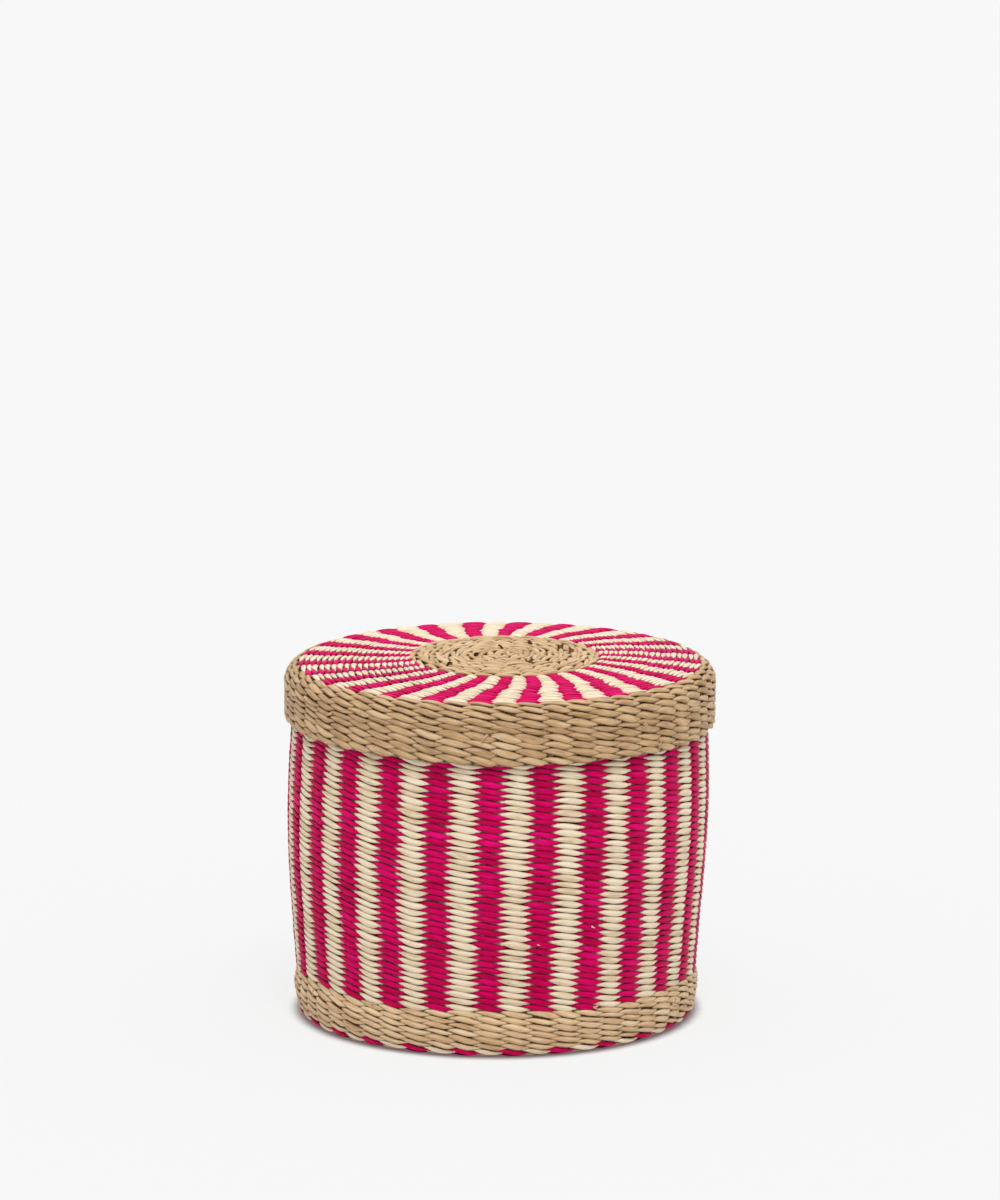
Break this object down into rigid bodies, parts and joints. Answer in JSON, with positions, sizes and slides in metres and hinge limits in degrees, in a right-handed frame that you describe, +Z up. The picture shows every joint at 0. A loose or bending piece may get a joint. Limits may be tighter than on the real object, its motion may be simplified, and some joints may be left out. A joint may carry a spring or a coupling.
{
  "type": "hat box",
  "caption": "Round hat box twined from palm strands over upright stakes, striped in magenta and cream with plain tan bands, with a deep lift-off lid.",
  "frame": {"origin": "middle of the ring that the box stands on, on the floor", "axes": "+Z up along the box's axis, -Y towards the front, +X to the right seen from the front"},
  "size_m": [0.3476, 0.3476, 0.2928],
  "materials": {
    "magenta_palm": "dyed palm strand, satin",
    "cream_palm": "bleached palm strand, satin",
    "tan_palm": "natural palm strand, satin",
    "stake_cane": "split palm cane, matte"
  },
  "bodies": {
    "basket": {"base_centre": "tan_palm", "base_magenta_weaver": "magenta_palm", "base_cream_weaver": "cream_palm", "base_inner_passes": "cream_palm", "base_edge_magenta": "magenta_palm", "base_edge_cream": "cream_palm", "foot_band": "tan_palm", "wall_magenta_weaver": "magenta_palm", "wall_cream_weaver": "cream_palm", "wall_inner_passes": "cream_palm", "stakes": "stake_cane", "rim_border": "tan_palm"},
    "lid": {"lid_centre": "tan_palm", "lid_magenta_weaver": "magenta_palm", "lid_cream_weaver": "cream_palm", "lid_inner_passes": "cream_palm", "lid_stakes": "stake_cane", "lid_skirt_weave": "tan_palm", "lid_skirt_inner_passes": "tan_palm", "lid_edge_border": "tan_palm"}
  },
  "joints": [
    {"name": "lid_lift", "type": "slide", "parent": "basket", "child": "lid", "axis": [0, 0, 1], "range_m": [0, 0.25]}
  ]
}
